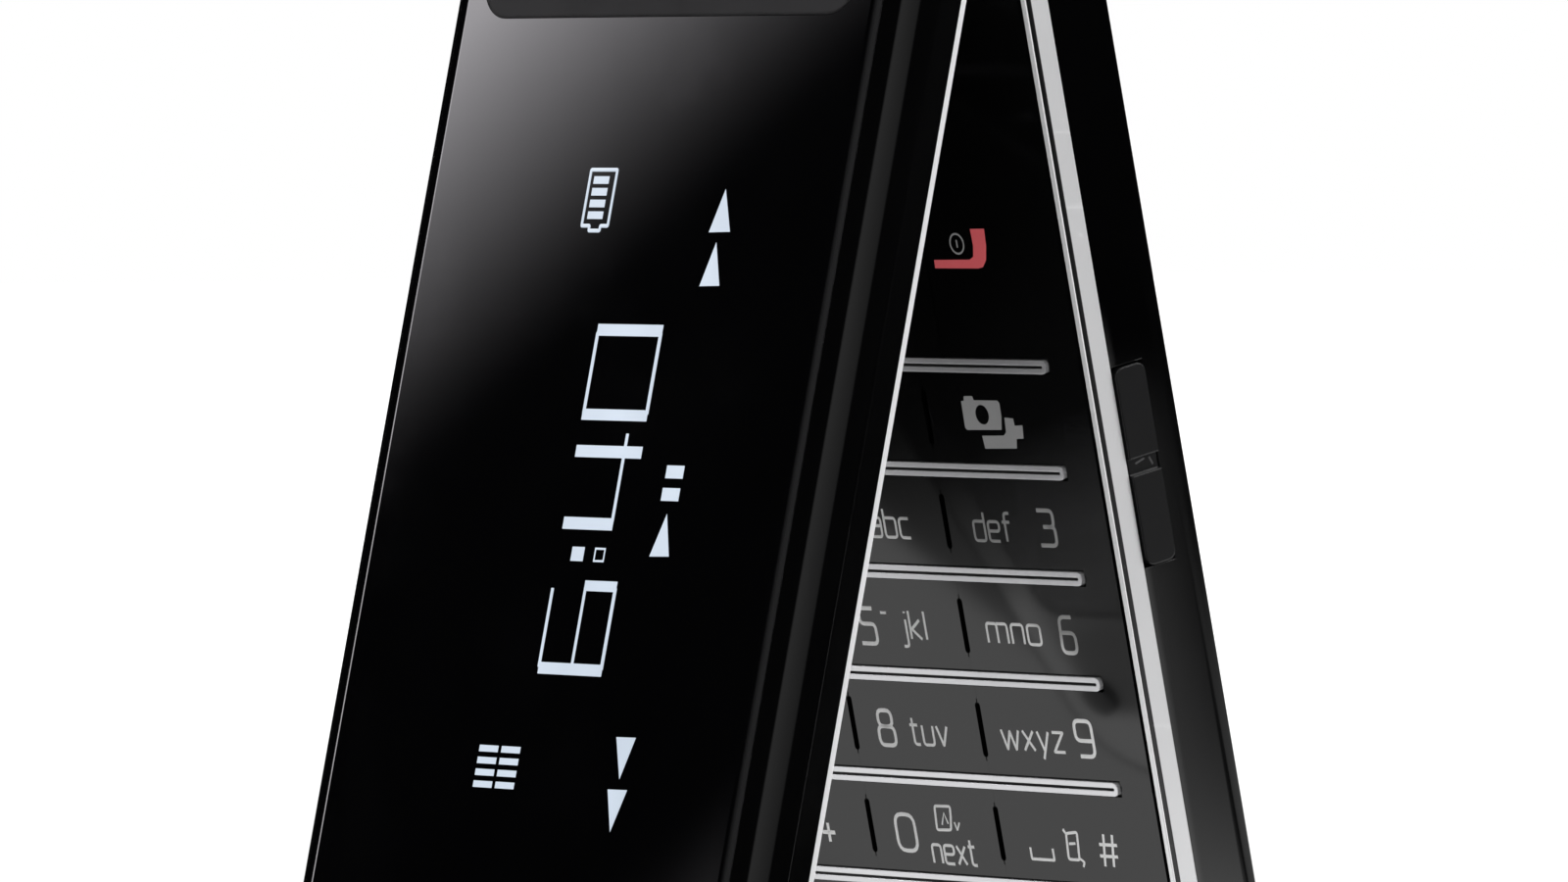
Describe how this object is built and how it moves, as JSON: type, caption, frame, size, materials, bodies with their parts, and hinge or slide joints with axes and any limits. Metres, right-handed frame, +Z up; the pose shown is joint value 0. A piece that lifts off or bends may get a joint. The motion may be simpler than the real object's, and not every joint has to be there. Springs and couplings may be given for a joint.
{
  "type": "flip phone",
  "caption": "Slim clamshell phone propped open on its two free ends, with sprung keys, a lid on a friction hinge and bright edge trim.",
  "frame": {"origin": "middle of the bounding box at floor level, under the hinge, where the phone stands like a tent", "axes": "+X along the hinge to the side with the volume key, +Y from the lid towards the keypad half, +Z up to the hinge"},
  "size_m": [0.0513, 0.0525, 0.0923],
  "materials": {
    "gloss_black_casing": "polished",
    "front_casing_black": "polished",
    "chrome_band": "polished",
    "chrome_edge": "polished",
    "chrome_bars": "polished",
    "mat_silicone": "matt",
    "dome_steel": "satin",
    "board_green": "satin",
    "lid_board_green": "satin",
    "shield_tin": "satin",
    "battery_case": "matt",
    "cover_black": "polished",
    "speaker_black": "matt",
    "motor_steel": "satin",
    "weight_steel": "satin",
    "antenna_plastic": "matt",
    "microphone_case": "matt",
    "screw_steel": "satin",
    "socket_steel": "satin",
    "port_rubber": "matt",
    "rocker_black": "satin",
    "hinge_steel": "satin",
    "bush_nylon": "satin",
    "cap_black": "polished",
    "key_black": "satin",
    "navigation_black": "satin",
    "select_chrome": "satin",
    "lid_frame_black": "polished",
    "lid_gloss_black": "polished",
    "lid_chrome_line": "polished",
    "face_glass": "polished",
    "deck_black": "satin",
    "lens_ring_steel": "satin",
    "lens_glass": "polished",
    "camera_black": "matt",
    "display_glass": "polished",
    "display_panel": "polished",
    "outer_display_panel": "polished",
    "earpiece_case": "matt",
    "bumper_rubber": "matt",
    "cartridge_steel": "satin",
    "flex_amber": "satin"
  },
  "bodies": {
    "base": {"base_rear_housing": "gloss_black_casing", "base_front_housing": "front_casing_black", "side_trim_band": "chrome_band", "keypad_edge_trim": "chrome_edge", "keypad_row_bars": "chrome_bars", "keypad_mat": "mat_silicone", "metal_domes": "dome_steel", "main_circuit_board": "board_green", "shield_cans": "shield_tin", "battery_pack": "battery_case", "loudspeaker": "speaker_black", "vibration_motor": "motor_steel", "antenna_carrier": "antenna_plastic", "microphone": "microphone_case", "housing_screws": "screw_steel", "charging_socket": "socket_steel", "hinge_drive_pin": "hinge_steel", "hinge_flex_bush": "bush_nylon", "knuckle_end_caps": "cap_black"},
    "lid": {"lid_inner_frame": "lid_frame_black", "lid_outer_cover": "lid_gloss_black", "lid_edge_trim": "lid_chrome_line", "face_window": "face_glass", "camera_deck": "deck_black", "camera_lens_ring": "lens_ring_steel", "camera_lens": "lens_glass", "camera_module": "camera_black", "inner_display_window": "display_glass", "inner_display": "display_panel", "outer_display": "outer_display_panel", "lid_circuit_board": "lid_board_green", "earpiece": "earpiece_case", "lid_bumpers": "bumper_rubber", "hinge_cartridge": "cartridge_steel", "hinge_flex": "flex_amber"},
    "voice_key": {"voice_key": "key_black"},
    "clear_key": {"clear_key": "key_black"},
    "camera_key": {"camera_key": "key_black"},
    "key_1": {"key_1": "key_black"},
    "key_2": {"key_2": "key_black"},
    "key_3": {"key_3": "key_black"},
    "key_4": {"key_4": "key_black"},
    "key_5": {"key_5": "key_black"},
    "key_6": {"key_6": "key_black"},
    "key_7": {"key_7": "key_black"},
    "key_8": {"key_8": "key_black"},
    "key_9": {"key_9": "key_black"},
    "key_star": {"key_star": "key_black"},
    "key_0": {"key_0": "key_black"},
    "key_hash": {"key_hash": "key_black"},
    "left_soft_key": {"left_soft_key": "key_black"},
    "right_soft_key": {"right_soft_key": "key_black"},
    "left_call_key": {"left_call_key": "key_black"},
    "right_call_key": {"right_call_key": "key_black"},
    "select_key": {"select_key": "select_chrome"},
    "navigation_ring": {"navigation_ring": "navigation_black"},
    "volume_rocker": {"volume_rocker": "rocker_black"},
    "battery_cover": {"battery_cover": "cover_black"},
    "port_cover": {"port_cover": "port_rubber"},
    "vibration_weight": {"vibration_weight": "weight_steel"}
  },
  "joints": [
    {"name": "lid_hinge", "type": "hinge", "parent": "base", "child": "lid", "pos_m": [0, -0.00146, 0.08577], "axis": [-1, 0, 0], "range_deg": [-25.65, 134.35]},
    {"name": "voice_key_press", "type": "slide", "parent": "base", "child": "voice_key", "axis": [0, 0.9751, 0.222], "range_m": [0, 0.0003], "stiffness_N_per_m": 1000},
    {"name": "clear_key_press", "type": "slide", "parent": "base", "child": "clear_key", "axis": [0, 0.9751, 0.222], "range_m": [0, 0.0003], "stiffness_N_per_m": 1000},
    {"name": "camera_key_press", "type": "slide", "parent": "base", "child": "camera_key", "axis": [0, 0.9751, 0.222], "range_m": [0, 0.0003], "stiffness_N_per_m": 1000},
    {"name": "key_1_press", "type": "slide", "parent": "base", "child": "key_1", "axis": [0, 0.9751, 0.222], "range_m": [0, 0.0003], "stiffness_N_per_m": 1000},
    {"name": "key_2_press", "type": "slide", "parent": "base", "child": "key_2", "axis": [0, 0.9751, 0.222], "range_m": [0, 0.0003], "stiffness_N_per_m": 1000},
    {"name": "key_3_press", "type": "slide", "parent": "base", "child": "key_3", "axis": [0, 0.9751, 0.222], "range_m": [0, 0.0003], "stiffness_N_per_m": 1000},
    {"name": "key_4_press", "type": "slide", "parent": "base", "child": "key_4", "axis": [0, 0.9751, 0.222], "range_m": [0, 0.0003], "stiffness_N_per_m": 1000},
    {"name": "key_5_press", "type": "slide", "parent": "base", "child": "key_5", "axis": [0, 0.9751, 0.222], "range_m": [0, 0.0003], "stiffness_N_per_m": 1000},
    {"name": "key_6_press", "type": "slide", "parent": "base", "child": "key_6", "axis": [0, 0.9751, 0.222], "range_m": [0, 0.0003], "stiffness_N_per_m": 1000},
    {"name": "key_7_press", "type": "slide", "parent": "base", "child": "key_7", "axis": [0, 0.9751, 0.222], "range_m": [0, 0.0003], "stiffness_N_per_m": 1000},
    {"name": "key_8_press", "type": "slide", "parent": "base", "child": "key_8", "axis": [0, 0.9751, 0.222], "range_m": [0, 0.0003], "stiffness_N_per_m": 1000},
    {"name": "key_9_press", "type": "slide", "parent": "base", "child": "key_9", "axis": [0, 0.9751, 0.222], "range_m": [0, 0.0003], "stiffness_N_per_m": 1000},
    {"name": "key_star_press", "type": "slide", "parent": "base", "child": "key_star", "axis": [0, 0.9751, 0.222], "range_m": [0, 0.0003], "stiffness_N_per_m": 1000},
    {"name": "key_0_press", "type": "slide", "parent": "base", "child": "key_0", "axis": [0, 0.9751, 0.222], "range_m": [0, 0.0003], "stiffness_N_per_m": 1000},
    {"name": "key_hash_press", "type": "slide", "parent": "base", "child": "key_hash", "axis": [0, 0.9751, 0.222], "range_m": [0, 0.0003], "stiffness_N_per_m": 1000},
    {"name": "left_soft_key_press", "type": "slide", "parent": "base", "child": "left_soft_key", "axis": [0, 0.9751, 0.222], "range_m": [0, 0.0003], "stiffness_N_per_m": 1000},
    {"name": "right_soft_key_press", "type": "slide", "parent": "base", "child": "right_soft_key", "axis": [0, 0.9751, 0.222], "range_m": [0, 0.0003], "stiffness_N_per_m": 1000},
    {"name": "left_call_key_press", "type": "slide", "parent": "base", "child": "left_call_key", "axis": [0, 0.9751, 0.222], "range_m": [0, 0.0003], "stiffness_N_per_m": 1000},
    {"name": "right_call_key_press", "type": "slide", "parent": "base", "child": "right_call_key", "axis": [0, 0.9751, 0.222], "range_m": [0, 0.0003], "stiffness_N_per_m": 1000},
    {"name": "select_key_press", "type": "slide", "parent": "base", "child": "select_key", "axis": [0, 0.9751, 0.222], "range_m": [0, 0.0003], "stiffness_N_per_m": 1000},
    {"name": "navigation_tilt", "type": "hinge", "parent": "base", "child": "navigation_ring", "pos_m": [0, 0.00454, 0.06324], "axis": [1, 0, 0], "range_deg": [-1.6, 1.6], "stiffness_Nm_per_rad": 0.08},
    {"name": "volume_rock", "type": "hinge", "parent": "base", "child": "volume_rocker", "pos_m": [0.02445, 0.01227, 0.04244], "axis": [0, 0.9751, 0.222], "range_deg": [-2.4, 2.4], "stiffness_Nm_per_rad": 0.03},
    {"name": "battery_cover_slide", "type": "slide", "parent": "base", "child": "battery_cover", "axis": [0, 0.222, -0.9751], "range_m": [0, 0.008]},
    {"name": "port_cover_swing", "type": "hinge", "parent": "base", "child": "port_cover", "pos_m": [-0.0251, 0.01701, 0.02803], "axis": [0, 0.9751, 0.222], "range_deg": [0, 95]},
    {"name": "vibration_spin", "type": "hinge", "parent": "base", "child": "vibration_weight", "pos_m": [-0.009, 0.00832, 0.07005], "axis": [1, 0, 0], "continuous": true}
  ]
}
